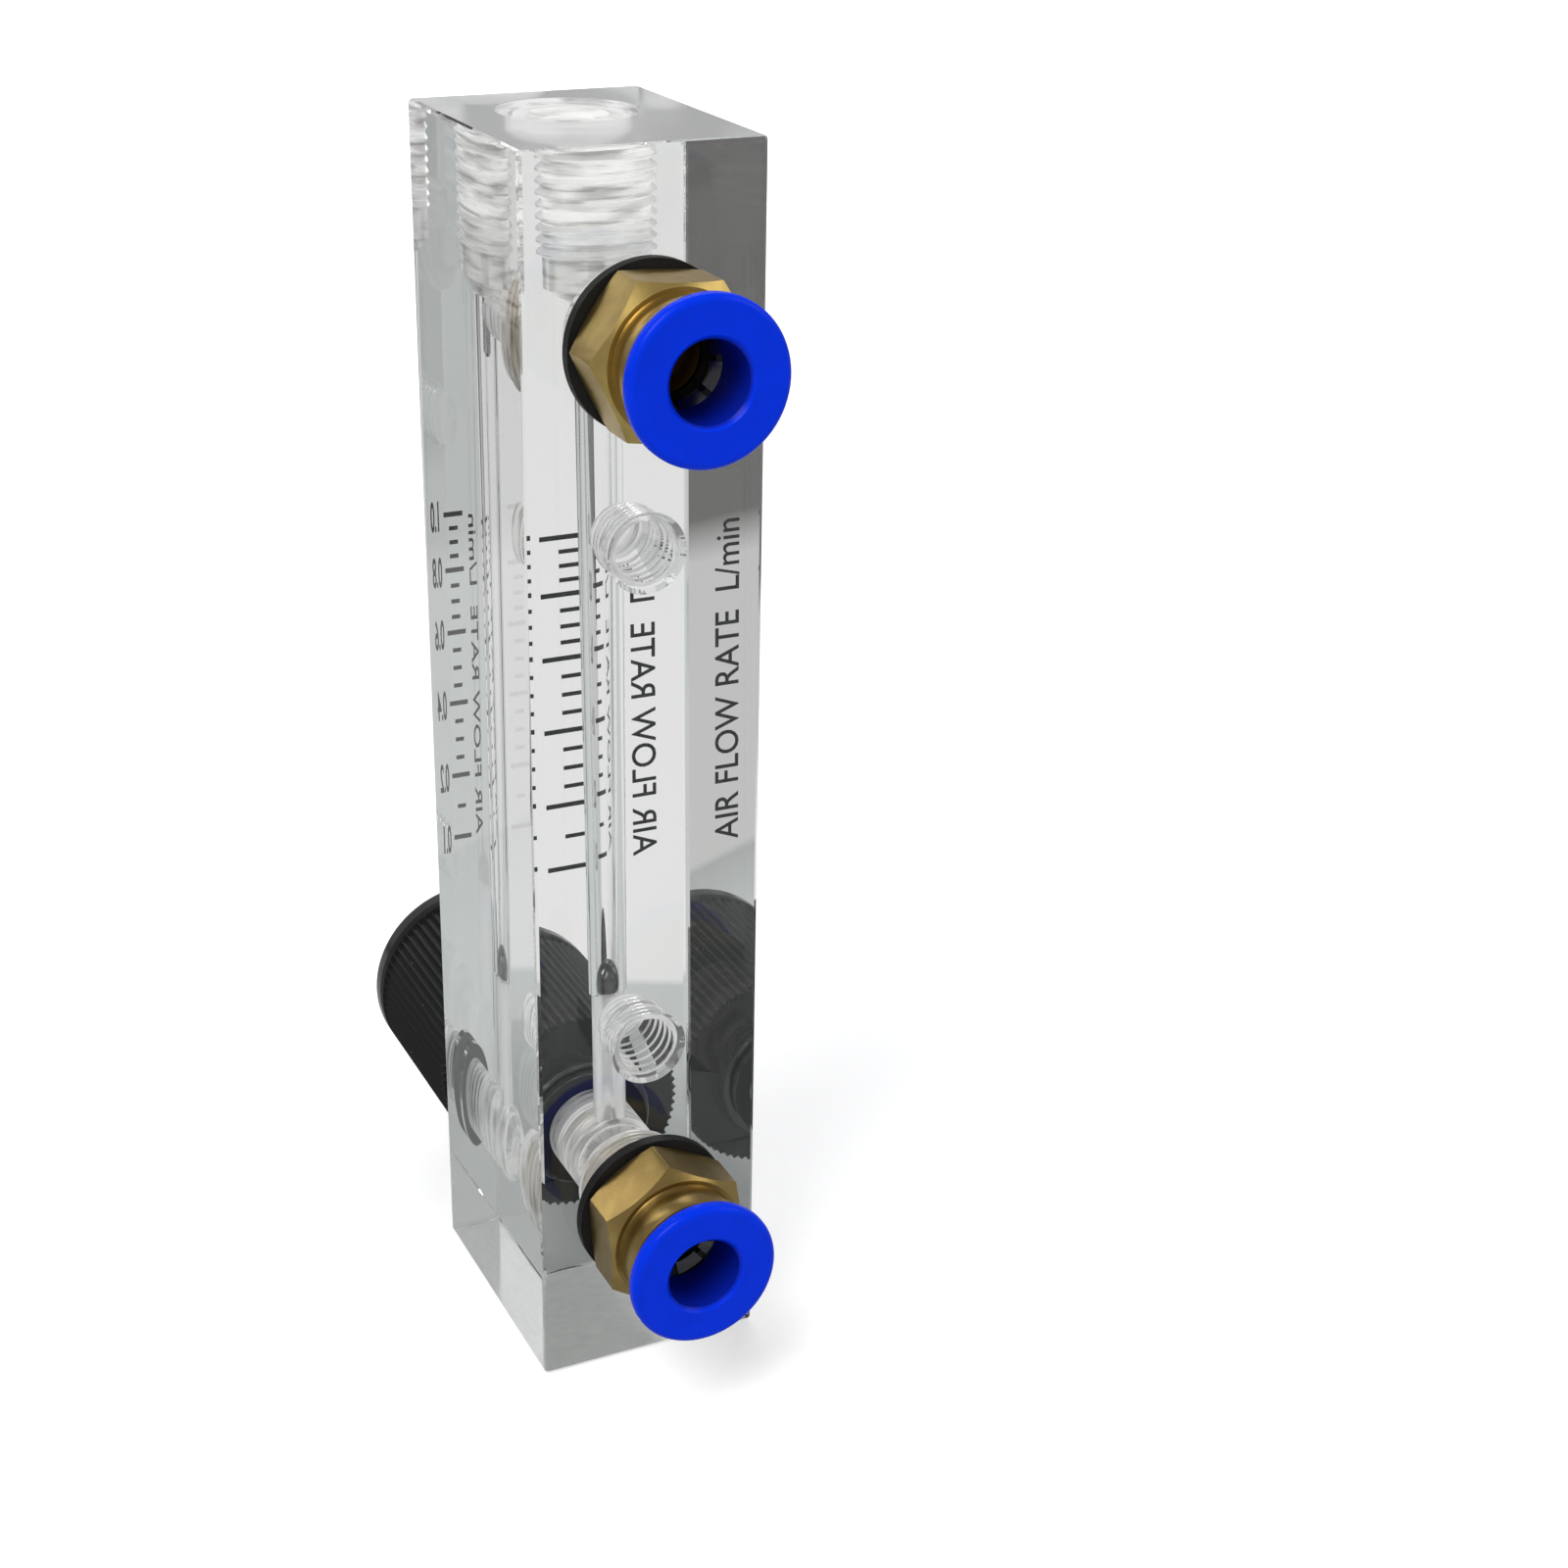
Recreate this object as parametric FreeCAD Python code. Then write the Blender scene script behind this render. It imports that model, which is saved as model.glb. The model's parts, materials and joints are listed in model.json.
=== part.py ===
"""Panel rotameter: a drilled acrylic block with a ball float, a needle valve and two push-in fittings.

Millimetres. +Z is up, the scale and the knob are on the -Y side, the fittings on the +Y side.
The origin is the centre of the block's bottom face.
"""
import FreeCAD, Part
import math
import os

Vec = FreeCAD.Vector

# ---- block ----
block_width = 20.0
block_depth = 25.0
block_height = 106.0
edge_chamfer = 0.35

# ---- metering column: one vertical axis, measured from the front face ----
column_setback = 9.5
float_radius = 1.70
float_gap = 0.04              # ball to bore wall at the seat
bore_widening = 0.29          # growth of the bore's radius up to the chamber
seat_height = 31.5            # step that carries the ball
feed_radius = 1.50            # drilling below the step
drill_tip_angle = 118.0

# ---- pipe thread of the top hole, the ports and the fittings (crest radius) ----
pipe_thread_radius = 4.865
tap_drill_radius = 4.40
mouth_chamfer = 0.45

# ---- top plug ----
top_thread_depth = 8.5
top_drill_depth = 12.5
top_mouth_chamfer = 0.85
plug_length = 8.0
plug_sink = 0.3               # plug face below the block's top
plug_edge_chamfer = 0.5
plug_dish_radius = 3.2
plug_dish_depth = 0.6
stop_pin_radius = 1.0
stop_pin_grip = 4.0           # length held in the plug
stop_pin_reach = 5.0          # how far the pin stands into the metering bore

# ---- ports in the rear face ----
inlet_height = 15.0
outlet_drop = 15.0            # outlet's axis below the block's top
port_thread_depth = 8.3
port_drill_depth = 9.1
outlet_cross_radius = 1.95

# ---- mounting holes in the rear face ----
mount_low_height = 30.5
mount_spacing = 44.0
mount_hole_radius = 2.5       # tapping drill for the mounting screw
mount_hole_depth = 9.0
mount_mouth_chamfer = 0.45

# ---- needle valve: stations are measured outwards from the front face ----
bonnet_thread_radius = 4.0
bonnet_thread_length = 5.2
chamber_radius = 3.5
chamber_depth = 11.7
orifice_radius = 1.25
gasket_section = 0.75         # section radius of the ring under the bonnet's flange
bonnet_flange_radius = 6.2
bonnet_flange_thickness = 1.4
bonnet_hex_flats = 8.0
bonnet_nose_station = 6.0
stem_bore_radius = 2.3        # smooth bore that the stem's ring seals in
stem_bore_station = 0.9       # where the smooth bore ends and the spindle thread starts
spindle_thread_radius = 2.46
running_clearance = 0.04
needle_tip_radius = 0.35
needle_length = 3.6
needle_stem_radius = 1.55
closed_gap = 0.08             # needle off its seat when shut
stem_ring_section = 0.45
stem_ring_station = -4.2
land_length = 2.3
shaft_radius = 2.0
shaft_flat = 0.5              # depth of the shaft's flat
shoulder_station = 10.6
shaft_end_station = 18.0

# ---- knob ----
knob_radius = 9.8
knob_gap = 2.0
knob_front_station = 23.0
knob_flutes = 75
flute_depth = 0.32
smooth_band = 3.2             # plain rim ahead of the flutes
rim_fillet = 1.3
knob_recess_radius = 6.6
dial_radius = 7.6
dial_thickness = 0.8
dial_recess_depth = 1.5
dial_edge_gap = 0.1
screw_radius = 1.5
screw_length = 7.0
screw_head_radius = 2.75
screw_head_height = 1.8
screw_pocket_radius = 3.2
hub_end_gap = 0.2             # shaft end to the floor of the screw pocket

# ---- push-in fittings: stations are measured outwards from the rear face ----
washer_radius = 6.8
washer_thickness = 1.0
washer_bore_gap = 0.1
fitting_hex_flats = 12.0
fitting_hex_length = 5.2
hex_turns = {"inlet": 4.0, "outlet": 26.0}
neck_radius = 5.6
neck_length = 3.4
neck_edge = 0.4
waist_depth = 0.3             # narrowing of the neck next to the hexagon
waist_flat = 0.5
waist_rise = 1.4
shank_length = 8.0
passage_hex_flats = 4.0
tube_radius = 3.0
socket_gap = 0.1
socket_floor_station = 0.4
socket_length = 2.4
seal_radius = 4.2
seal_length = 2.0
seal_groove_depth = 1.0
seal_lead = 0.7               # length of the lip's lead-in on each face
seal_flare = 0.35             # lip's opening at its free end
cage_radius = 4.8             # chamber that holds the grip parts
claw_thickness = 0.25
claw_drop = 1.0               # from the grip ring's rim down to its tips
claw_count = 8
claw_slot = 0.5
claw_rim = 0.4                # width of rim that is clamped
claw_seat_gap = 0.4           # tube to the seat's hole
sleeve_outer_radius = 3.85
sleeve_gap = 0.2              # tube to the release ring's hole
barb_height = 0.35
barb_length = 0.45
release_travel = 0.8
collar_radius = 6.5
collar_thickness = 1.5
collar_edge = 0.6
collar_mouth = 0.35

# ---- printed scale on the front face: value and height ----
scale_marks = ((0.1, 41.0), (0.2, 47.0), (0.4, 53.9), (0.6, 60.5), (0.8, 66.2), (1.0, 71.2))
scale_steps = (2, 4, 4, 4, 4)  # divisions between one value and the next
major_mark_length = 6.1
minor_mark_length = 2.7
major_mark_height = 0.42
minor_mark_height = 0.36
ink_thickness = 0.05

# ---- worked out from the sizes above ----
outlet_height = block_height - outlet_drop
column_y = column_setback - block_depth / 2
tip_tangent = math.tan(math.radians(drill_tip_angle / 2))
bore_low_radius = float_radius + float_gap
bore_high_radius = bore_low_radius + bore_widening
chamber_tip = block_height - top_drill_depth - (tap_drill_radius - bore_high_radius) / tip_tangent
float_rest = seat_height + math.sqrt(float_radius ** 2 - feed_radius ** 2) + float_gap / 2
stop_pin_tip = chamber_tip - stop_pin_reach


def revolved(profile):
    """Solid of revolution about Z from (radius, station) points of a closed half outline."""
    points = [Vec(radius, 0, station) for radius, station in profile]
    face = Part.Face(Part.makePolygon(points + points[:1]))
    return face.revolve(Vec(0, 0, 0), Vec(0, 0, 1), 360)


def stepped(profile):
    """Solid of revolution filled to its axis, from (radius, station) points in order of station."""
    return revolved([(0, profile[0][1])] + list(profile) + [(0, profile[-1][1])])


def hexagon(flats, low, high):
    """Hexagonal prism about Z with a pair of flats facing +-Y."""
    corner = flats / math.sqrt(3)
    turns = [math.radians(60 * k) for k in range(6)]
    points = [Vec(corner * math.cos(a), corner * math.sin(a), low) for a in turns]
    return Part.Face(Part.makePolygon(points + points[:1])).extrude(Vec(0, 0, high - low))


def placed(shape, turn, origin):
    """Turns a shape about X, then moves it to its origin."""
    moved = shape.copy()
    moved.Placement = FreeCAD.Placement(origin, FreeCAD.Rotation(Vec(1, 0, 0), turn))
    return moved


def on_front(shape):
    """Station axis out of the front face, on the valve's axis."""
    return placed(shape, 90, Vec(0, -block_depth / 2, inlet_height))


def on_rear(shape, height):
    """Station axis out of the rear face at one height."""
    return placed(shape, -90, Vec(0, block_depth / 2, height))


def on_column(shape):
    """Station axis up the metering column."""
    return placed(shape, 0, Vec(0, column_y, 0))


# ---- block and column ----
def tapped_hole(thread_radius, drill_radius, thread_depth, drill_depth, chamfer, through_radius, reach):
    """Cutter for a tapped hole: mouth chamfer, thread, drill, its cone, and a drilling that goes on inwards."""
    cone = (drill_radius - through_radius) / tip_tangent
    return stepped([
        (through_radius, -reach), (through_radius, -drill_depth - cone), (drill_radius, -drill_depth),
        (drill_radius, -thread_depth), (thread_radius, -thread_depth), (thread_radius, -chamfer),
        (thread_radius + chamfer, 0), (thread_radius + chamfer, 1)])


def column_cutter():
    top = block_height
    thread_floor = top - top_thread_depth
    mouth = pipe_thread_radius + top_mouth_chamfer
    return stepped([
        (feed_radius, inlet_height), (feed_radius, seat_height), (bore_low_radius, seat_height),
        (bore_high_radius, chamber_tip), (tap_drill_radius, top - top_drill_depth),
        (tap_drill_radius, thread_floor), (pipe_thread_radius, thread_floor),
        (pipe_thread_radius, top - top_mouth_chamfer), (mouth, top), (mouth, top + 1)])


def valve_cutter():
    pocket = bonnet_thread_radius + 2 * gasket_section
    return stepped([
        (orifice_radius, -block_depth + port_drill_depth), (orifice_radius, -chamber_depth),
        (chamber_radius, -chamber_depth), (chamber_radius, -bonnet_thread_length),
        (bonnet_thread_radius, -bonnet_thread_length), (bonnet_thread_radius, -2 * gasket_section),
        (pocket, -2 * gasket_section), (pocket, 1)])


def mount_cutter():
    tip = mount_hole_depth + mount_hole_radius / tip_tangent
    mouth = mount_hole_radius + mount_mouth_chamfer
    return revolved([
        (0, -tip), (mount_hole_radius, -mount_hole_depth), (mount_hole_radius, -mount_mouth_chamfer),
        (mouth, 0), (mouth, 1), (0, 1)])


def block_edges(shape):
    """The twelve outer edges of the plain block."""
    return [edge for edge in shape.Edges if edge.Curve.TypeId == "Part::GeomLine"]


def make_block():
    corner = Vec(-block_width / 2, -block_depth / 2, 0)
    block = Part.makeBox(block_width, block_depth, block_height, corner)
    block = block.makeChamfer(edge_chamfer, block_edges(block))
    inlet = tapped_hole(pipe_thread_radius, tap_drill_radius, port_thread_depth, port_drill_depth,
                        mouth_chamfer, orifice_radius, block_depth - chamber_depth)
    outlet = tapped_hole(pipe_thread_radius, tap_drill_radius, port_thread_depth, port_drill_depth,
                         mouth_chamfer, outlet_cross_radius, block_depth - column_setback)
    cutters = [on_column(column_cutter()), on_front(valve_cutter()),
               on_rear(inlet, inlet_height), on_rear(outlet, outlet_height)]
    for height in (mount_low_height, mount_low_height + mount_spacing):
        cutters.append(on_rear(mount_cutter(), height))
    return block.cut(cutters)


def make_plug():
    top = block_height - plug_sink
    bottom = top - plug_length
    sphere_radius = (plug_dish_radius ** 2 + plug_dish_depth ** 2) / (2 * plug_dish_depth)
    dish = Part.makeSphere(sphere_radius, Vec(0, 0, top - plug_dish_depth + sphere_radius))
    body = stepped([
        (pipe_thread_radius - plug_edge_chamfer, bottom), (pipe_thread_radius, bottom + plug_edge_chamfer),
        (pipe_thread_radius, top - plug_edge_chamfer), (pipe_thread_radius - plug_edge_chamfer, top)])
    hole = Part.makeCylinder(stop_pin_radius, stop_pin_grip, Vec(0, 0, bottom))
    return on_column(body.cut([dish, hole]))


def make_stop_pin():
    grip_end = block_height - plug_sink - plug_length + stop_pin_grip
    rounding = stop_pin_radius / 3
    return on_column(stepped([
        (stop_pin_radius - rounding, stop_pin_tip), (stop_pin_radius, stop_pin_tip + rounding),
        (stop_pin_radius, grip_end)]))


def make_float():
    return on_column(Part.makeSphere(float_radius, Vec(0, 0, float_rest)))


# ---- needle valve ----
def ring(centre_radius, section_radius, station):
    return Part.makeTorus(centre_radius, section_radius, Vec(0, 0, station))


def make_bonnet():
    flange_top = bonnet_flange_thickness
    nose = bonnet_nose_station
    chamfer = mouth_chamfer
    hex_corner = bonnet_hex_flats / math.sqrt(3)
    body = stepped([
        (bonnet_thread_radius - chamfer, -bonnet_thread_length),
        (bonnet_thread_radius, -bonnet_thread_length + chamfer), (bonnet_thread_radius, 0),
        (bonnet_flange_radius, 0), (bonnet_flange_radius, flange_top), (bonnet_hex_flats / 2, flange_top)])
    barrel = stepped([(hex_corner, flange_top), (hex_corner, nose - chamfer), (hex_corner - chamfer, nose)])
    nut = hexagon(bonnet_hex_flats, flange_top, nose).common(barrel)
    spindle_bore = spindle_thread_radius + running_clearance
    bore = stepped([
        (stem_bore_radius, -bonnet_thread_length - 1), (stem_bore_radius, stem_bore_station),
        (spindle_bore, stem_bore_station), (spindle_bore, nose + 1)])
    return on_front(body.fuse(nut).cut(bore).removeSplitter())


def make_gasket():
    return on_front(ring(bonnet_thread_radius + gasket_section, gasket_section, -gasket_section))


def make_spindle():
    """Needle, sealed land, spindle thread and the flatted shaft that carries the knob."""
    slope = needle_length / (needle_stem_radius - needle_tip_radius)
    seat_to_tip = (orifice_radius - needle_tip_radius) * slope
    tip = -chamber_depth - seat_to_tip + closed_gap
    land = stem_bore_radius - running_clearance
    low = stem_ring_station - land_length / 2
    high = stem_ring_station + land_length / 2
    groove = stem_ring_section + running_clearance
    floor = land - 2 * stem_ring_section
    thread_start = stem_bore_station + running_clearance
    relief = shaft_radius - running_clearance
    body = stepped([
        (needle_tip_radius, tip), (needle_stem_radius, tip + needle_length), (needle_stem_radius, low),
        (land, low), (land, stem_ring_station - groove), (floor, stem_ring_station - groove),
        (floor, stem_ring_station + groove), (land, stem_ring_station + groove), (land, high),
        (relief, high), (relief, thread_start), (spindle_thread_radius, thread_start),
        (spindle_thread_radius, shoulder_station), (shaft_radius, shoulder_station),
        (shaft_radius, shaft_end_station)])
    tapped = Part.makeCylinder(screw_radius, screw_length, Vec(0, 0, shaft_end_station - screw_length))
    return on_front(body.cut([tapped, shaft_flat_cutter()]))


def shaft_flat_cutter():
    """Box beyond the flat of the shaft, so that the knob can't turn on it."""
    width = 2 * shaft_radius
    low = Vec(-width / 2, shaft_radius - shaft_flat, shoulder_station)
    return Part.makeBox(width, shaft_radius, shaft_end_station - shoulder_station, low)


def make_stem_ring():
    centre = stem_bore_radius - running_clearance / 2 - stem_ring_section
    return on_front(ring(centre, stem_ring_section, stem_ring_station))


# ---- knob ----
def fluted_prism(low, high):
    """Fluted grip: a crest and a root for each flute."""
    step = math.pi / knob_flutes
    points = []
    for k in range(2 * knob_flutes):
        radius = knob_radius if k % 2 == 0 else knob_radius - flute_depth
        points.append(Vec(radius * math.cos(k * step), radius * math.sin(k * step), low))
    return Part.Face(Part.makePolygon(points + points[:1])).extrude(Vec(0, 0, high - low))


def make_knob():
    front = knob_front_station
    band = front - smooth_band
    dial_floor = front - dial_recess_depth
    pocket_floor = shaft_end_station + hub_end_gap
    grip = fluted_prism(knob_gap, band)
    rim = Part.makeCylinder(knob_radius, smooth_band, Vec(0, 0, band))
    outer = [edge for edge in rim.Edges if edge.Curve.TypeId == "Part::GeomCircle"
             and abs(edge.Curve.Center.z - front) < 1e-6]
    rim = rim.makeFillet(rim_fillet, outer)
    hollow = stepped([
        (knob_recess_radius, knob_gap - 1), (knob_recess_radius, shoulder_station),
        (shaft_radius, shoulder_station), (shaft_radius, pocket_floor),
        (screw_pocket_radius, pocket_floor), (screw_pocket_radius, dial_floor),
        (dial_radius + dial_edge_gap, dial_floor), (dial_radius + dial_edge_gap, front + 1)])
    return on_front(grip.fuse(rim).cut(hollow).fuse(hub_key()).removeSplitter())


def hub_key():
    """Segment in the knob's hub that meets the shaft's flat."""
    length = shaft_end_station - shoulder_station
    disc = Part.makeCylinder(shaft_radius, length, Vec(0, 0, shoulder_station))
    return disc.common(shaft_flat_cutter())


def make_screw():
    seat = shaft_end_station + hub_end_gap
    head = seat + screw_head_height
    edge = screw_head_height / 3
    tip = shaft_end_station - screw_length
    body = stepped([
        (screw_radius, tip), (screw_radius, seat), (screw_head_radius, seat),
        (screw_head_radius, head - edge), (screw_head_radius - edge, head)])
    slot = hexagon(screw_radius, seat + screw_head_height / 2, head + 1)
    return on_front(body.cut(slot))


def make_dial():
    floor = knob_front_station - dial_recess_depth
    top = floor + dial_thickness
    edge = dial_thickness / 4
    return on_front(stepped([(dial_radius, floor), (dial_radius, top - edge), (dial_radius - edge, top)]))


# ---- push-in fittings ----
hex_station = washer_thickness + fitting_hex_length
neck_station = hex_station + neck_length
seal_floor_station = socket_floor_station + socket_length
claw_floor_station = seal_floor_station + seal_length + socket_gap
claw_rim_station = claw_floor_station + claw_drop
socket_radius = tube_radius + socket_gap
claw_slope = claw_drop / (cage_radius - claw_rim - tube_radius)
barb_radius = sleeve_outer_radius + barb_height
sleeve_end_station = claw_rim_station + release_travel
barb_stop_station = sleeve_end_station + barb_length + socket_gap
collar_station = neck_station + release_travel + socket_gap


def make_washer():
    inner = pipe_thread_radius + washer_bore_gap
    return revolved([(inner, 0), (washer_radius, 0), (washer_radius, washer_thickness),
                     (inner, washer_thickness)])


def make_fitting_body(turn):
    chamfer = mouth_chamfer
    corner = fitting_hex_flats / math.sqrt(3)
    crown = corner - fitting_hex_flats / 2
    shank = stepped([
        (pipe_thread_radius - chamfer, -shank_length), (pipe_thread_radius, chamfer - shank_length),
        (pipe_thread_radius, washer_thickness)])
    barrel = stepped([
        (corner, washer_thickness), (corner, hex_station - crown / 2),
        (corner - crown, hex_station)])
    nut = hexagon(fitting_hex_flats, washer_thickness, hex_station)
    nut.rotate(Vec(0, 0, 0), Vec(0, 0, 1), turn)
    waist_radius = neck_radius - waist_depth
    neck = stepped([
        (waist_radius, washer_thickness), (waist_radius, hex_station + waist_flat),
        (neck_radius, hex_station + waist_flat + waist_rise), (neck_radius, neck_station - neck_edge),
        (neck_radius - neck_edge, neck_station)])
    bore = stepped([
        (socket_radius, socket_floor_station), (socket_radius, seal_floor_station),
        (seal_radius, seal_floor_station), (seal_radius, claw_floor_station),
        (cage_radius, claw_floor_station), (cage_radius, neck_station + 1)])
    passage = hexagon(passage_hex_flats, -shank_length - 1, socket_floor_station + socket_gap)
    return shank.fuse([nut.common(barrel), neck]).cut([bore, passage]).removeSplitter()


def make_tube_seal():
    """Cup seal: the groove faces the pressure, and the inner lip closes on the tube."""
    low = seal_floor_station
    high = low + seal_length
    lip = tube_radius + seal_flare
    groove = (lip + seal_radius) / 2
    side = (seal_radius - lip) / 6
    return revolved([
        (lip, low), (groove - side, low), (groove, low + seal_groove_depth), (groove + side, low),
        (seal_radius, low), (seal_radius, high), (lip, high), (tube_radius, high - seal_lead / 2),
        (tube_radius, low + seal_lead)])


def make_claw_seat():
    """Ring between seal and claws, coned like the claws that lie on it."""
    inner = tube_radius + claw_seat_gap
    rise = (cage_radius - claw_rim - inner) * claw_slope
    return revolved([
        (inner, claw_floor_station), (cage_radius, claw_floor_station), (cage_radius, claw_rim_station),
        (cage_radius - claw_rim, claw_rim_station), (inner, claw_rim_station - rise)])


def make_grip_ring():
    """Spring ring with teeth that lean inwards and grip the tube."""
    bend = cage_radius - claw_rim
    low = claw_rim_station - claw_drop
    blank = revolved([
        (tube_radius, low), (bend, claw_rim_station), (cage_radius, claw_rim_station),
        (cage_radius, claw_rim_station + claw_thickness), (bend, claw_rim_station + claw_thickness),
        (tube_radius, low + claw_thickness)])
    slots = []
    for k in range(claw_count):
        slot = Part.makeBox(bend, claw_slot, claw_drop + 3 * claw_thickness,
                            Vec(0, -claw_slot / 2, low - claw_thickness))
        slot.rotate(Vec(0, 0, 0), Vec(0, 0, 1), 360 * k / claw_count)
        slots.append(slot)
    return blank.cut(slots)


def make_retainer():
    """Pressed-in ring that holds the claws and stops the release ring's barb."""
    skirt = barb_radius + socket_gap
    throat = sleeve_outer_radius + running_clearance
    return revolved([
        (skirt, claw_rim_station + claw_thickness), (cage_radius, claw_rim_station + claw_thickness),
        (cage_radius, neck_station), (throat, neck_station), (throat, barb_stop_station),
        (skirt, barb_stop_station)])


def make_release_ring():
    hole = tube_radius + sleeve_gap
    end = sleeve_end_station
    front = collar_station + collar_thickness
    body = revolved([
        (hole, end), (sleeve_outer_radius - barb_height / 2, end), (barb_radius, end + barb_length - socket_gap),
        (barb_radius, end + barb_length), (sleeve_outer_radius, end + barb_length),
        (sleeve_outer_radius, collar_station), (collar_radius, collar_station), (collar_radius, front),
        (hole + collar_mouth, front), (hole, front - collar_mouth)])
    outer = [edge for edge in body.Edges if edge.Curve.TypeId == "Part::GeomCircle"
             and abs(edge.Curve.Radius - collar_radius) < 1e-6]
    return body.makeFillet(collar_edge, outer)


# ---- printed scale ----
def scale_heights():
    """Height of each mark with whether it is a numbered one."""
    heights = []
    for (_, low), (_, high), steps in zip(scale_marks, scale_marks[1:], scale_steps):
        for k in range(steps):
            heights.append((low + (high - low) * k / steps, k == 0))
    heights.append((scale_marks[-1][1], True))
    return heights


def make_scale():
    bars = []
    for height, numbered in scale_heights():
        length = major_mark_length if numbered else minor_mark_length
        thick = major_mark_height if numbered else minor_mark_height
        corner = Vec(-length / 2, -block_depth / 2 - ink_thickness, height - thick / 2)
        bars.append(Part.makeBox(length, ink_thickness, thick, corner))
    return Part.makeCompound(bars)


def fitting_parts(side, height):
    """The six pieces of one push-in fitting, named for the side they serve."""
    pieces = {
        "washer": make_washer(),
        "fitting_body": make_fitting_body(hex_turns[side]),
        "tube_seal": make_tube_seal(),
        "claw_seat": make_claw_seat(),
        "grip_ring": make_grip_ring(),
        "retainer_ring": make_retainer(),
        "release_ring": make_release_ring(),
    }
    return {f"{side}_{name}": on_rear(shape, height) for name, shape in pieces.items()}


def all_parts():
    parts = {
        "flow_block": make_block(),
        "top_plug": make_plug(),
        "float_stop_pin": make_stop_pin(),
        "float_ball": make_float(),
        "valve_bonnet": make_bonnet(),
        "bonnet_gasket": make_gasket(),
        "needle_spindle": make_spindle(),
        "spindle_seal": make_stem_ring(),
        "control_knob": make_knob(),
        "knob_screw": make_screw(),
        "dial_disc": make_dial(),
        "scale_print": make_scale(),
    }
    parts.update(fitting_parts("inlet", inlet_height))
    parts.update(fitting_parts("outlet", outlet_height))
    return parts


os.makedirs("parts", exist_ok=True)
for node, shape in all_parts().items():
    shape.exportStep(f"parts/{node}.step")
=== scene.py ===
"""Looks of a panel rotameter: acrylic block, steel ball, needle valve and two push-in fittings."""
import json
import math

import bmesh
import bpy
from mathutils import Matrix, Vector


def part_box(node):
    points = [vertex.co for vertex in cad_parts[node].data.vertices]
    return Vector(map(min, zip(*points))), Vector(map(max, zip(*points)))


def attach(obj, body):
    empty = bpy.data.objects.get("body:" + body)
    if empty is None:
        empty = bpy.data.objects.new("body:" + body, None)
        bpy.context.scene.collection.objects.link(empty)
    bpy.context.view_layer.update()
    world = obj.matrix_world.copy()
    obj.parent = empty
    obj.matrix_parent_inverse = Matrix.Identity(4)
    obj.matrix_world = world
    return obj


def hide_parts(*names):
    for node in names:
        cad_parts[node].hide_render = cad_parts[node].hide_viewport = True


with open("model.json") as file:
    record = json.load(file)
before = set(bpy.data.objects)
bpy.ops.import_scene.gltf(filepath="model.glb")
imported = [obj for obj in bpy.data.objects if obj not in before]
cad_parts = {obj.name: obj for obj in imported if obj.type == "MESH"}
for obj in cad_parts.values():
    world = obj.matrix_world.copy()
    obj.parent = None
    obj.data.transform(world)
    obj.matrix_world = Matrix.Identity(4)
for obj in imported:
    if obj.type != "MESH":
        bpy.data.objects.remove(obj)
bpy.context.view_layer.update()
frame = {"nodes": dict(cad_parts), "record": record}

bl_info = {
    "name": "Panel Rotameter",
    "version": (1, 0, 0),
    "blender": (4, 5, 0),
    "location": "View3D > Sidebar > Rotameter",
    "description": "Dresses the packed solids of a panel rotameter in acrylic, brass, steel and plastic",
    "category": "Object",
}

MM = 0.001
FULL_TURN = 2 * math.pi
QUARTER_TURN = math.radians(90.0)
ROUND = 96  # steps of a turned piece
FINE_ROUND = 128  # steps of the bores, which the acrylic magnifies
STEPS_PER_FLUTE = 6
DRILL_SLOPE = math.tan(math.radians(59.0))
SHARP_ANGLE = math.radians(28.0)
CLEAR_CREASE = math.radians(9.0)  # keeps the acrylic's flat faces optically flat

# Sizes that two or more pieces share, in millimetres
PIPE_DRILL = 4.40  # radius of the tap drill for the pipe threads
TOP_THREAD_START = 1.05  # depth below the top face where the thread starts
VALVE_PITCH = 0.75  # thread of the bonnet and of its hole
POCKET_DEPTH = 1.5  # pocket for the bonnet's gasket
CLEAR = 1.0  # how far a cutter starts outside the block

# Small bores that lead from the ports: radius, and the station where they end
CROSS_BORES = {"inlet": (1.25, -12.9), "outlet": (1.95, -15.4)}

# Neck of a push-in fitting: what its radius loses, and the station from the rear face
NECK = ((0.22, 6.2), (0.30, 6.35), (0.32, 6.8), (0.25, 7.3), (0.1, 7.8), (0.0, 8.3), (0.0, 9.2),
        (0.1, 9.45), (0.35, 9.6))

HEX_TURNS = {"inlet": 4.0, "outlet": 26.0}  # degrees

# The scale: each number with its height, and the steps from each number to the next
SCALE_MARKS = ((0.1, 41.0), (0.2, 47.0), (0.4, 53.9), (0.6, 60.5), (0.8, 66.2), (1.0, 71.2))
SCALE_STEPS = (2, 4, 4, 4, 4)

# How whitened the faces of the block and the plug are, from 0 for polished to 1 for white; the whiter a
# face, the more it also glows with painted light.
FROST_AND_GLOW = {"top": 0.36, "foot": 0.72, "chamber": 0.65, "feed_bore": 0.45, "cross_bore": 0.8,
         "port_point": 0.9, "mount_point": 0.9, "mount_mouth": 0.2, "valve_point": 0.95,
         "chamber_groove": 0.45, "port_groove": 0.6, "mount_groove": 0.05, "valve_groove": 0.6,
         "crest": 1.0, "lit_flank": 0.85, "plug": 0.42}


# ---- places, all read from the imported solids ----
def middle(node):
    """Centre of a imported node's box."""
    low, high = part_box(node)
    return (low + high) / 2


def reach(node, axis, side):
    """Lowest (side 0) or highest (side 1) corner of a node along an axis, in millimetres."""
    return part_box(node)[side][axis] / MM


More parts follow.
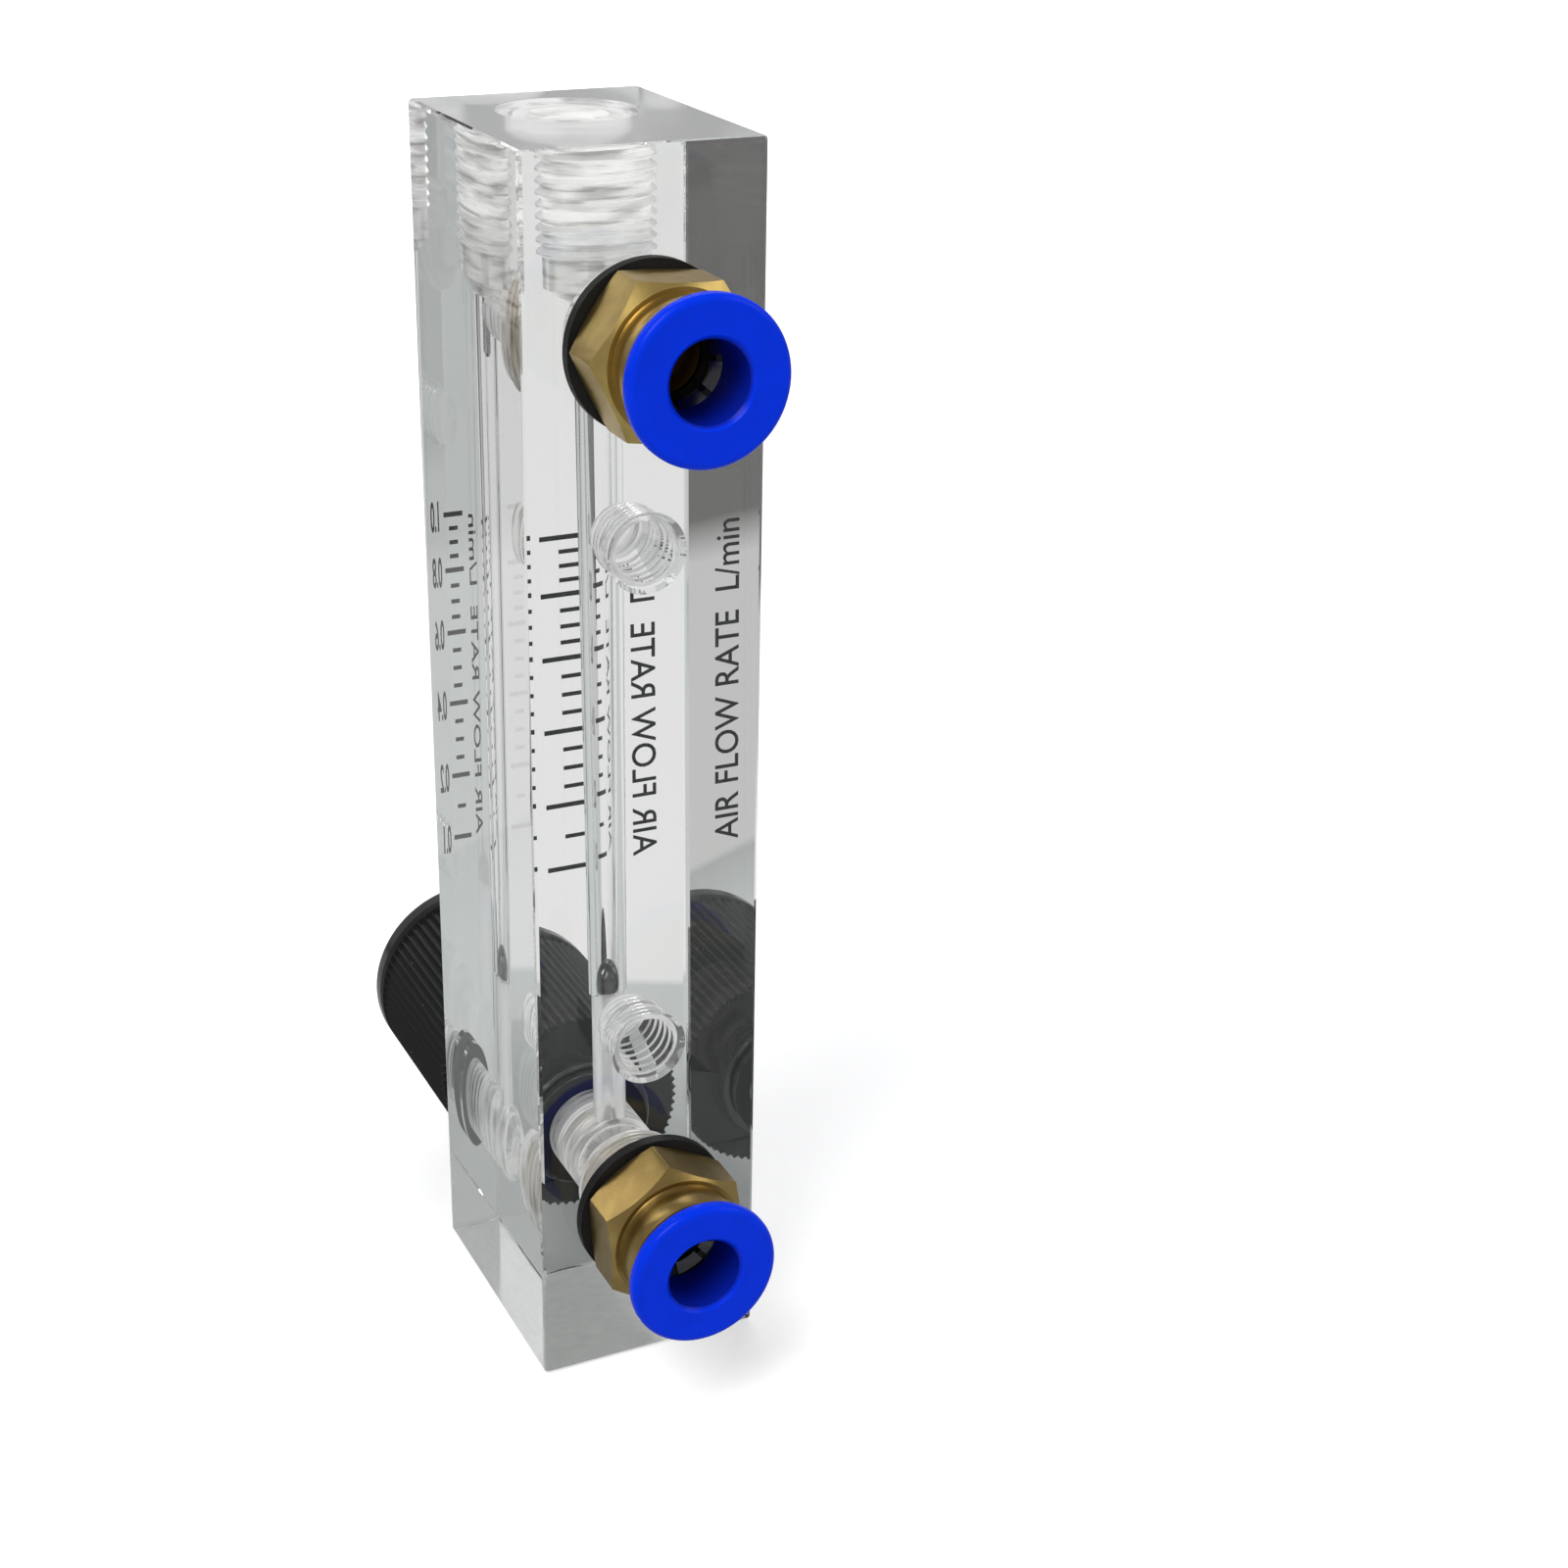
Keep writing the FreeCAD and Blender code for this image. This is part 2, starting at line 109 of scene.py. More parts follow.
BLOCK_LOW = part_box("flow_block")[0] / MM
BLOCK_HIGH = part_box("flow_block")[1] / MM
FRONT_Y = BLOCK_LOW.y
REAR_Y = BLOCK_HIGH.y
TOP_Z = BLOCK_HIGH.z
COLUMN_Y = middle("top_plug").y / MM
VALVE_Z = middle("dial_disc").z / MM
PORT_HEIGHTS = {side: middle(side + "_washer").z / MM for side in ("inlet", "outlet")}
MOUNT_HEIGHTS = [m["pos_m"][2] / MM for m in frame["record"]["mounts"] if "mounting_hole" in m["name"]]


def on_front(height):
    """Local Z points out of the front face, from the axis at that height. Millimetres to metres."""
    return (Matrix.Translation((0, FRONT_Y * MM, height * MM)) @ Matrix.Rotation(QUARTER_TURN, 4, "X")
            @ Matrix.Scale(MM, 4))


def on_rear(height):
    """Local Z points out of the rear face, from the axis at that height."""
    return (Matrix.Translation((0, REAR_Y * MM, height * MM)) @ Matrix.Rotation(-QUARTER_TURN, 4, "X")
            @ Matrix.Scale(MM, 4))


def on_column():
    """Local Z is the height above the block's foot, along the metering bore."""
    return Matrix.Translation((0, COLUMN_Y * MM, 0)) @ Matrix.Scale(MM, 4)


# ---- settings that a user would change ----
def length(name, description, default):
    """A length setting, with its default in millimetres."""
    return bpy.props.FloatProperty(name=name, description=description, default=default * MM, min=0.0,
                                   precision=5, unit="LENGTH", subtype="DISTANCE")


def paint(name, description, *default):
    """A colour setting."""
    return bpy.props.FloatVectorProperty(name=name, description=description, default=default, size=3,
                                         min=0.0, max=1.0, subtype="COLOR")


class BlockSizes(bpy.types.PropertyGroup):
    edge_bevel: length("Edge bevel", "Width of the polished bevel on the block's edges", 0.35)
    bore_seat: length("Bore at the seat", "Radius of the metering bore where the ball rests", 1.74)
    bore_top: length("Bore at the top", "Radius of the metering bore under the chamber", 2.03)
    pipe_thread: length("Pipe thread", "Outer radius of the ports' thread", 4.885)
    pipe_pitch: length("Pipe thread pitch", "Distance between crests of the ports' thread", 0.907)
    mount_thread: length("Mounting thread", "Outer radius of the mounting holes' thread", 3.0)
    mount_pitch: length("Mounting thread pitch", "Distance between crests in the mounting holes", 1.0)


class FittingSizes(bpy.types.PropertyGroup):
    hex_flats: length("Hexagon", "Distance across the flats of the fittings' hexagon", 12.0)
    neck_radius: length("Neck radius", "Radius of the round neck ahead of the hexagon", 5.6)
    socket_radius: length("Tube socket", "Radius of the socket that takes the tube", 3.1)
    thread_gap: length("Thread gap", "Play between a fitting's thread and the block's", 0.04)


class KnobSizes(bpy.types.PropertyGroup):
    radius: length("Knob radius", "Radius over the knob's ribs", 9.8)
    flute_depth: length("Flute depth", "Depth of the grooves between the ribs", 0.32)
    flutes: bpy.props.IntProperty(name="Flutes", description="Number of ribs round the knob", default=75,
                                  min=12)
    smooth_band: length("Smooth band", "Width of the plain rim at the knob's front", 3.2)


class PrintSizes(bpy.types.PropertyGroup):
    digit_height: length("Digit height", "Height of the scale's numbers", 2.75)
    legend_height: length("Legend height", "Height of the words beside the scale", 2.35)
    ink_proud: length("Ink thickness", "Height of the print above the face", 0.03)


class Finishes(bpy.types.PropertyGroup):
    acrylic: paint("Acrylic", "Tint of light that passes through the acrylic", 0.86, 0.905, 0.885)
    frost: paint("Frost", "Colour of the drilled and threaded walls", 0.97, 0.97, 0.96)
    brass: paint("Brass", "Colour of bare turned brass", 0.52, 0.37, 0.115)
    steel: paint("Steel", "Colour of stainless steel", 0.62, 0.62, 0.61)
    ball: paint("Float steel", "Colour of the ball", 0.13, 0.13, 0.13)
    # The claws' steel is painted dark, as shade down the release ring's hole.
    claws: paint("Claw steel", "Colour of the polished claws that grip the tube", 0.10, 0.10, 0.11)
    blackened: paint("Blackened brass", "Colour of the bonnet behind the knob", 0.060, 0.060, 0.062)
    rubber: paint("Rubber", "Colour of the seals and washers", 0.006, 0.006, 0.006)
    moulding: paint("Knob", "Colour of the moulded knob", 0.007, 0.007, 0.007)
    dial: paint("Dial", "Colour of the knob's dial", 0.62, 0.66, 0.71)
    ink: paint("Ink", "Colour of the print", 0.010, 0.011, 0.013)
    release: paint("Release ring", "Colour of the push-in rings", 0.0, 0.040, 0.92)
    seat: paint("Claw seat", "Colour of the plastic ring behind the claws", 0.03, 0.03, 0.03)
    bench: paint("Bench", "Floor close to the block, as acrylic and metal see it", 0.445, 0.468, 0.460)
    sheet: paint("Sheet", "Floor beyond the bench", 0.66, 0.66, 0.645)
    shade: paint("Shade", "Dark part of the floor, in front and to the right", 0.085, 0.082, 0.078)


GROUPS = (("rotameter_block", BlockSizes), ("rotameter_fitting", FittingSizes),
          ("rotameter_knob", KnobSizes), ("rotameter_print", PrintSizes), ("rotameter_finish", Finishes))


def sizes(name):
    """The settings of one group, by the last word of its name."""
    return getattr(bpy.context.scene, "rotameter_" + name)


# ---- shaping ----
def turned(profile, steps=ROUND, ring=False):
    """Turns a profile of (radius, station) pairs about the local Z axis; ring closes it on itself."""
    shape = bmesh.new()
    points = [shape.verts.new((radius, 0.0, station)) for radius, station in profile]
    pairs = list(zip(points, points[1:]))
    if ring:
        pairs.append((points[-1], points[0]))
    lines = [shape.edges.new(pair) for pair in pairs]
    bmesh.ops.spin(shape, geom=points + lines, cent=(0, 0, 0), axis=(0, 0, 1), angle=FULL_TURN, steps=steps,
                   use_merge=True, use_duplicate=False)
    bmesh.ops.remove_doubles(shape, verts=shape.verts, dist=1e-5)
    bmesh.ops.recalc_face_normals(shape, faces=shape.faces)
    return shape


def thread(crest, root, start, end, pitch):
    """Profile of a thread from start to end, as (radius, station) pairs that start and end at the root."""
    way = 1 if end > start else -1
    run_out = 0.2
    turns = int(abs(end - start) / pitch - run_out)
    lead, flank, flat = 0.1 * pitch, 0.36 * pitch, 0.14 * pitch
    points = []
    for k in range(turns):
        foot = start + way * (k * pitch + lead)
        points += [(root, foot), (crest, foot + way * flank), (crest, foot + way * (flank + flat)),
                   (root, foot + way * (2 * flank + flat))]
    return points


def raised(shape, low, high):
    """Raises a flat shape at height 0 to a prism from low to high."""
    fresh = bmesh.ops.extrude_face_region(shape, geom=shape.faces[:])["geom"]
    lifted = [part for part in fresh if isinstance(part, bmesh.types.BMVert)]
    bmesh.ops.translate(shape, vec=(0, 0, low), verts=shape.verts)
    bmesh.ops.translate(shape, vec=(0, 0, high - low), verts=lifted)
    bmesh.ops.recalc_face_normals(shape, faces=shape.faces)
    return shape


def outlined(points, low, high):
    """A prism over an outline of (x, y) points, from low to high."""
    shape = bmesh.new()
    shape.faces.new([shape.verts.new((x, y, 0.0)) for x, y in points])
    return raised(shape, low, high)


def rounded(shape, edges, width):
    """Bevels edges to a soft corner of that width."""
    bmesh.ops.bevel(shape, geom=list(edges), offset=width, offset_type="OFFSET", affect="EDGES",
                    segments=2, profile=0.5, material=-1, clamp_overlap=True)


def joined(shapes):
    """One shape that holds all the others, which it uses up."""
    whole = bmesh.new()
    for shape in shapes:
        part = mesh_from(shape, "part")
        whole.from_mesh(part)
        bpy.data.meshes.remove(part)
    return whole


def mesh_from(shape, name, place=None):
    """Moves a shape into place, turns it into a mesh and frees it."""
    if place is not None:
        bmesh.ops.transform(shape, matrix=place, verts=shape.verts)
    mesh = bpy.data.meshes.new(name)
    shape.to_mesh(mesh)
    shape.free()
    return mesh


def placed(name, data):
    """A new object in the scene."""
    made = bpy.data.objects.new(name, data)
    bpy.context.collection.objects.link(made)
    return made


def evaluated(thing):
    """The mesh of an object with its modifiers, or its font, worked out."""
    depsgraph = bpy.context.evaluated_depsgraph_get()
    return bpy.data.meshes.new_from_object(thing.evaluated_get(depsgraph))


def piece(name, mesh, finish, body, replaces=(), crease=SHARP_ANGLE):
    """A finished piece, riding on its body; edges sharper than crease stay sharp."""
    mesh.shade_smooth()
    mesh.set_sharp_from_angle(angle=crease)
    mesh.materials.clear()
    mesh.materials.append(finish)
    made = placed(name, mesh)
    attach(made, body)
    if replaces:
        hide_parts(*replaces)
    return made


def refinish(node, finish):
    """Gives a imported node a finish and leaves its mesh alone."""
    solid = frame["nodes"][node]
    if not solid.material_slots:
        raise RuntimeError(node + " has no material slot")
    for held in solid.material_slots:
        held.link = "OBJECT"
        held.material = finish


def carved(name, stock, tools):
    """Cuts the meshes of tools out of a stock mesh and gives back the mesh that is left."""
    body = placed(name, stock)
    cutters = []
    for number, mesh in enumerate(tools):
        cutter = placed(f"{name}_cutter_{number}", mesh)
        cut = body.modifiers.new(cutter.name, "BOOLEAN")
        cut.operation = "DIFFERENCE"
        cut.solver = "EXACT"
        cut.object = cutter
        cutters.append(cutter)
    mesh = evaluated(body)
    for spare in [body] + cutters:
        spent = spare.data
        bpy.data.objects.remove(spare)
        bpy.data.meshes.remove(spent)
    if not mesh.polygons:
        raise RuntimeError(name + " was cut away")
    return mesh


# ---- finishes ----
class Wire:
    """A node's socket in a Python expression: each operation adds its Math node."""

    def __init__(self, recipe, socket):
        self.recipe = recipe
        self.socket = socket

    def math(self, operation, *values):
        return self.recipe.node("ShaderNodeMath", {"operation": operation}, dict(enumerate(values)))

    def __add__(self, other):
        return self.math("ADD", self, other)

    def __radd__(self, other):
        return self.math("ADD", other, self)

    def __sub__(self, other):
        return self.math("SUBTRACT", self, other)

    def __rsub__(self, other):
        return self.math("SUBTRACT", other, self)

    def __mul__(self, other):
        return self.math("MULTIPLY", self, other)

    def __rmul__(self, other):
        return self.math("MULTIPLY", other, self)

    def __pow__(self, other):
        return self.math("POWER", self, other)

    def clamped(self):
        return self.math("MINIMUM", self.math("MAXIMUM", self, 0.0), 1.0)


class Recipe:
    """Nodes of one material or world."""

    def __init__(self, owner):
        owner.use_nodes = True
        self.owner = owner
        self.tree = owner.node_tree
        self.tree.nodes.clear()

    def node(self, kind, settings=None, values=None, output=0):
        """Adds a node: first its settings, then the values or links of its sockets."""
        made = self.tree.nodes.new(kind)
        for key, value in (settings or {}).items():
            setattr(made, key, value)
        for key, value in (values or {}).items():
            socket = made.inputs[key]
            if isinstance(value, Wire):
                self.tree.links.new(value.socket, socket)
            elif hasattr(socket.default_value, "__len__") and len(socket.default_value) == 4:
                socket.default_value = (*value[:3], 1.0)
            else:
                socket.default_value = value
        return Wire(self, made.outputs[output] if made.outputs else None)

    def place(self):
        return self.node("ShaderNodeTexCoord", output="Object")

    def axes(self, vector=None):
        """X, Y and Z of a vector, or of the place on the object."""
        parts = self.node("ShaderNodeSeparateXYZ", None, {0: vector or self.place()}).socket.node
        return [Wire(self, parts.outputs[axis]) for axis in "XYZ"]

    def axes_from(self, height):
        """X, Y and Z of the place, with Z counted from a height in millimetres."""
        return self.axes(self.node("ShaderNodeMapping", None,
                                   {"Vector": self.place(), "Location": (0.0, 0.0, -height * MM)}))

    def noise(self, scale, detail, vector=None):
        """Cloudy noise from 0 to 1."""
        return self.node("ShaderNodeTexNoise", None,
                         {"Vector": vector or self.place(), "Scale": scale, "Detail": detail,
                          "Roughness": 0.55})

    def attribute(self, name):
        """The number that the mesh stores for each face under a name."""
        return self.node("ShaderNodeAttribute", {"attribute_name": name}, output="Fac")

    def blend(self, factor, first, second):
        """Colour between two colours."""
        return self.node("ShaderNodeMix", {"data_type": "RGBA"}, {0: factor, 6: first, 7: second}, output=2)

    def clouded(self, base, fade):
        """A colour that fades in soft clouds to a share of itself."""
        clouds = (self.noise(360.0, 3.0) * 1.3 - 0.3).clamped()
        return self.blend(clouds, tuple(base), tuple(c * fade for c in base))

    def between(self, factor, first, second):
        """Shader between two shaders."""
        return self.node("ShaderNodeMixShader", None, {0: factor, 1: first, 2: second})

    def bump(self, height, distance, strength):
        """Surface direction over small bumps."""
        return self.node("ShaderNodeBump", None,
                         {"Strength": strength, "Distance": distance, "Height": height})

    def surface(self, **values):
        """Principled shader; an underscore in a socket's name stands for a space."""
        named = {key.replace("_", " "): value for key, value in values.items()}
        return self.node("ShaderNodeBsdfPrincipled", None, named)

    def finish(self, surface, volume=None):
        """Joins the shaders to the output and gives back the material."""
        values = {"Surface": surface}
        if volume is not None:
            values["Volume"] = volume
        self.node("ShaderNodeOutputMaterial", None, values)
        return self.owner


def recipe(name):
    """The empty recipe of a new material."""
    return Recipe(bpy.data.materials.new(name))


def finish_once(make):
    """Makes each finish once and hands the same one out after that."""
    made = {}

    def wrapped(*values):
        if values not in made:
            made[values] = make(*values)
        return made[values]
    return wrapped


@finish_once
def acrylic():
    """Polished outside and in the metering bore, whitened where cut, black where rubber is pressed on it;
    the whitened walls glow with painted light, and the tool marks in them are darkened with painted shade.
    """
    mix = recipe("clear_acrylic")
    tint = sizes("finish")
    frosting = mix.attribute("frosting")
    grain = mix.noise(5200.0, 2.0)
    smear = mix.noise(160.0, 2.0)
    scratch = mix.bump(grain * frosting, 0.00004, 0.6)
    glass = mix.surface(Base_Color=(1.0, 1.0, 1.0), Transmission_Weight=1.0, IOR=1.491,
                        Roughness=smear * 0.012 + frosting * 0.22, Normal=scratch)
    # Marks of the drill and the tap run round the column in its chamber, and round the holes elsewhere;
    # their dark tone is partly painted shade, standing for the shade in the thread's relief.
    place = mix.place()
    height = mix.axes(place)[2]
    chamber_foot, stretch = 0.0915, 0.10
    round_column = mix.node("ShaderNodeMapping", None, {"Vector": place, "Scale": (stretch, stretch, 1.0)})
    round_hole = mix.node("ShaderNodeMapping", None, {"Vector": place, "Scale": (stretch, 1.0, stretch)})
    above = ((height - chamber_foot) * 2000.0).clamped()
    marks = (mix.noise(1900.0, 3.0, round_column) * above
             + mix.noise(1900.0, 3.0, round_hole) * (1.0 - above))
    foot = ((0.001 - height) * 2000.0).clamped()
    tooled_and_shaded = ((frosting - 0.55) * 100.0).clamped() * (1.0 - foot)
    mark_and_shade_tone, worn_tone = (0.27, 0.275, 0.27), (0.52, 0.53, 0.52)
    tone = mix.blend(((marks - 0.46) * 6.0).clamped() * tooled_and_shaded, tint.frost, mark_and_shade_tone)
    wear = (mix.noise(700.0, 4.0) * 0.9 + 0.15).clamped()
    tone = mix.blend(foot * wear, tone, worn_tone)
    # Painted light: the whitened walls glow in their own tone, as if lit inside the acrylic.
    white = mix.surface(Base_Color=tone, Roughness=0.55, IOR=1.49, Normal=scratch, Emission_Color=tone,
                        Emission_Strength=0.42)
    glow = mix.node("ShaderNodeBsdfTranslucent", None, {"Color": tint.frost})
    whitened = mix.between(frosting * 0.95, glass, mix.between(0.5, white, glow))
    dark = mix.surface(Base_Color=tint.rubber, Roughness=0.6)
    shown = mix.between(mix.attribute("pressed"), whitened, dark)
    depth = mix.node("ShaderNodeVolumeAbsorption", None, {"Color": tint.acrylic, "Density": 2.4})
    return mix.finish(shown, depth)


@finish_once
def brass(height):
    """Turned brass: fine rings about the axis at that height, a darker tarnish in patches with more of it on
    the lower fitting as painted shade, and painted shade inside the bore.
    """
    mix = recipe(f"bare_brass_rear_{height:.0f}")
    across, along, up = mix.axes_from(height)
    radius = (across * across + up * up) ** 0.5
    turned_place = mix.node("ShaderNodeCombineXYZ", None, {"X": radius, "Y": along, "Z": 0.0})
    rings = mix.noise(9000.0, 2.0, turned_place)
    patches = mix.noise(420.0, 4.0)
    # Painted shade: the lower fitting is given more of the tarnish tone than the upper one.
    bare = -0.15 if height < middle("flow_block").z / MM else 0.45
    tarnished, bright, bore_shade_tone = (0.26, 0.17, 0.05), (0.80, 0.62, 0.28), (0.16, 0.10, 0.03)
    tone = mix.blend((patches * 1.6 - bare).clamped(), sizes("finish").brass, tarnished)
    tone = mix.blend((rings * 0.18).clamped(), tone, bright)
    # Painted shade: dark within 5 mm of the axis, down the bore and on the shank inside the port.
    inside = ((0.0050 - radius) * 900.0).clamped()
    tone = mix.blend(inside, tone, bore_shade_tone)
    roughness = patches * 0.16 + rings * 0.12 + 0.20
    return mix.finish(mix.surface(Base_Color=tone, Metallic=1.0, Roughness=roughness,
                                  Normal=mix.bump(rings, 0.000004, 0.5)))


@finish_once
def steel(name, tone_name, roughness):
    """Bare or blackened metal with a fine grain and small dark specks."""
    mix = recipe(name)
    grain = mix.noise(2600.0, 3.0)
    specks = mix.noise(900.0, 5.0)
    base = getattr(sizes("finish"), tone_name)
    tone = mix.blend((specks * 2.0 - 0.7).clamped(), tuple(base), tuple(0.45 * c for c in base))
    return mix.finish(mix.surface(Base_Color=tone, Metallic=1.0, Roughness=grain * 0.16 + roughness,
                                  Normal=mix.bump(grain, 0.000004, 0.4)))


@finish_once
def rubber():
    """Black rubber with a faint pale bloom."""
    mix = recipe("black_rubber")
    grain = mix.noise(3800.0, 3.0)
    bloom = mix.noise(520.0, 4.0)
    tone = mix.blend((bloom * 0.9 - 0.2).clamped(), sizes("finish").rubber, (0.020, 0.020, 0.021))
    return mix.finish(mix.surface(Base_Color=tone, Roughness=grain * 0.2 + 0.45, Specular_IOR_Level=0.25,
                                  Normal=mix.bump(grain, 0.000012, 0.5)))


@finish_once
def moulding():
    """Satin black plastic with a fine texture and a few specks of dust, and a glossy rim at the front."""
    mix = recipe("black_moulding")
    grain = mix.noise(5200.0, 2.0)
    wear = mix.noise(300.0, 4.0)
    dust = mix.node("ShaderNodeTexVoronoi", None, {"Vector": mix.place(), "Scale": 700.0})
    fleck = (0.055 - dust) * 60.0
    rim_back = (reach("control_knob", 1, 0) + 2.4) * MM
    rim = ((rim_back - mix.axes()[1]) * 4000.0).clamped()
    tone = mix.blend((wear * 0.8 - 0.2).clamped(), sizes("finish").moulding, (0.013, 0.013, 0.014))
    tone = mix.blend(fleck.clamped() * 0.35, tone, (0.45, 0.46, 0.48))
    return mix.finish(mix.surface(Base_Color=tone, Roughness=wear * 0.18 + grain * 0.08 + 0.38,
                                  Specular_IOR_Level=0.16, Coat_Weight=rim * 0.8, Coat_Roughness=0.14,
                                  Normal=mix.bump(grain, 0.000008, 0.45)))


@finish_once
def plastic(name, tone_name, roughness, fade):
    """Coloured plastic with a faint change of tone and fine moulding texture."""
    mix = recipe(name)
    grain = mix.noise(4200.0, 2.0)
    tone = mix.clouded(getattr(sizes("finish"), tone_name), fade)
    return mix.finish(mix.surface(Base_Color=tone, Roughness=grain * 0.10 + roughness,
                                  Normal=mix.bump(grain, 0.000002, 0.3)))


@finish_once
def release(height):
    """Blue plastic of the release ring at that height, darker down the tube's hole as painted shade."""
    mix = recipe(f"blue_plastic_{height:.0f}")
    across, _, up = mix.axes_from(height)
    # Painted shade: the blue darkens down the tube's hole.
    hole = ((0.00345 - (across * across + up * up) ** 0.5) * 3000.0).clamped()
    tone = mix.blend(hole * 0.85, mix.clouded(sizes("finish").release, 0.80), (0.004, 0.004, 0.10))
    return mix.finish(mix.surface(Base_Color=tone, Roughness=mix.noise(4200.0, 2.0) * 0.10 + 0.20,
                                  Specular_IOR_Level=0.08))


# ---- the acrylic block ----
def mouth(major, face, chamfer):
    """Start of a cutter: clear of the face, then a chamfer down to the thread's outer radius."""
    return [(0, face + CLEAR), (major + (CLEAR + chamfer), face + CLEAR), (major, face - chamfer)]


def port_cutter(height, cross_radius, end_station):
    """Threaded port with its drill point and the small bore that runs on to end_station."""
    block = sizes("block")
    major = block.pipe_thread / MM
    start, tapped, drilled = -0.6, -8.3, -9.1
    tip = drilled - (PIPE_DRILL - cross_radius) / DRILL_SLOPE
    profile = mouth(major, 0.0, 0.43) + [(PIPE_DRILL, -0.55)]
    profile += thread(major, PIPE_DRILL, start, tapped, block.pipe_pitch / MM)
    profile += [(PIPE_DRILL, drilled), (cross_radius, tip), (cross_radius, end_station), (0, end_station)]
    return turned(profile, FINE_ROUND), on_rear(height)


def mount_cutter(height):
    """Blind threaded hole for a mounting screw, with its drill point."""
    block = sizes("block")
    major = block.mount_thread / MM
    drill = 2.5
    start, tapped, drilled = -0.55, -7.6, -9.0
    profile = mouth(major, 0.0, 0.35) + [(drill, -0.5)]
    profile += thread(major, drill, start, tapped, block.mount_pitch / MM)
    profile += [(drill, drilled), (0, drilled - drill / DRILL_SLOPE)]
    return turned(profile, FINE_ROUND), on_rear(height)


def column_cutter():
    """Threaded chamber, tapered metering bore, and the small bore under the ball's seat."""
    block = sizes("block")
    major = block.pipe_thread / MM
    tapped, drilled, bore_end, seat = 95.2, 93.5, 92.08, 31.5
    feed, feed_foot = 1.5, 15.0
    profile = mouth(major, TOP_Z, 0.85) + [(PIPE_DRILL, TOP_Z - 1.0)]
    profile += thread(major, PIPE_DRILL, TOP_Z - TOP_THREAD_START, tapped, block.pipe_pitch / MM)
    profile += [(PIPE_DRILL, drilled), (block.bore_top / MM, bore_end), (block.bore_seat / MM, seat),
                (feed, seat), (feed, feed_foot), (0, feed_foot)]
    return turned(profile, FINE_ROUND), on_column()


def valve_cutter():
    """Gasket pocket, threaded hole for the bonnet, and the needle's small bore."""
    pocket, gasket_foot = 5.5, -0.85
    hole, major, minor = 4.0, 4.02, 3.5
    tapped, drilled, tip = -11.4, -11.7, -12.1
    bore, bore_end = 1.25, -12.8
    profile = [(0, CLEAR), (pocket, CLEAR), (pocket, gasket_foot), (pocket, -POCKET_DEPTH),
               (hole, -POCKET_DEPTH)]
    profile += thread(major, minor, -POCKET_DEPTH, tapped, VALVE_PITCH)
    profile += [(minor, drilled), (bore, tip), (bore, bore_end), (0, bore_end)]
    return turned(profile, FINE_ROUND), on_front(VALVE_Z)


def thread_white(crest, lit_flank, groove):
    """The drill whitens a thread's crests; the flank that faces the light is whitened as painted light."""
    return FROST_AND_GLOW["crest"] if crest else FROST_AND_GLOW["lit_flank"] if lit_flank else FROST_AND_GLOW[groove]


def white_of(face):
    """How whitened a face of the block is, and so how much painted light it glows with, from its place and,
    in a thread, from the way its flank faces the light.
    """
    x, y, z = face.center / MM
    skin, bevel, side, rear = 0.05, 0.4, 9.6, 12.47
    flank, crest = 0.2, PIPE_DRILL + 0.02
    if z > TOP_Z - skin:
        return FROST_AND_GLOW["top"]
    if z < skin:
        return FROST_AND_GLOW["foot"]
    from_column = math.hypot(x, y - COLUMN_Y)
    top_mouth = 6.5
    if abs(x) > side or abs(y) > rear or z < bevel or (z > TOP_Z - bevel and from_column > top_mouth):
        return 0.0
    chamber, chamber_foot, thread_foot = 6.0, 92.1, 95.1
    if z > chamber_foot and from_column < chamber:
        if z > thread_foot:
            return thread_white(from_column < crest, face.normal.z > flank, "chamber_groove")
        return FROST_AND_GLOW["chamber"]
    return white_of_hole(face, x, y, z, from_column, flank, crest)


def white_of_hole(face, x, y, z, from_column, flank, crest):
    """The same for the ports, the mounting holes, the valve's hole and the bore that feeds the seat."""
    port, port_end, thread_end = 5.6, 1.0, 4.1
    cross, cross_end, near_column = 2.1, -1.9, 2.2
    for height in PORT_HEIGHTS.values():
        from_port = math.hypot(x, z - height)
        if cross < from_port < port and y > port_end:
            if y > thread_end:
                return thread_white(from_port < crest, face.normal.y > flank, "port_groove")
            return FROST_AND_GLOW["port_point"]
        if from_port < cross and y > cross_end and from_column > near_column:
            return FROST_AND_GLOW["cross_bore"]
    mount, mount_crest, mount_face, mount_thread_end, mount_end = 3.6, 2.52, 11.9, 4.6, 1.5
    for height in MOUNT_HEIGHTS:
        from_mount = math.hypot(x, z - height)
        if from_mount < mount and y > mount_face:
            return FROST_AND_GLOW["mount_mouth"]
        if from_mount < mount and y > mount_end:
            if y > mount_thread_end:
                return thread_white(from_mount < mount_crest, face.normal.y < -flank, "mount_groove")
            return FROST_AND_GLOW["mount_point"]
    hole, hole_end, hole_crest, hole_thread_end = 4.1, -0.2, 3.58, -1.1
    from_valve = math.hypot(x, z - VALVE_Z)
    if from_valve < hole and y < hole_end:
        if y < hole_thread_end:
            return thread_white(from_valve < hole_crest, face.normal.y > flank, "valve_groove")
        return FROST_AND_GLOW["valve_point"]
    feed = 1.6
    return FROST_AND_GLOW["feed_bore"] if from_column < feed else 0.0


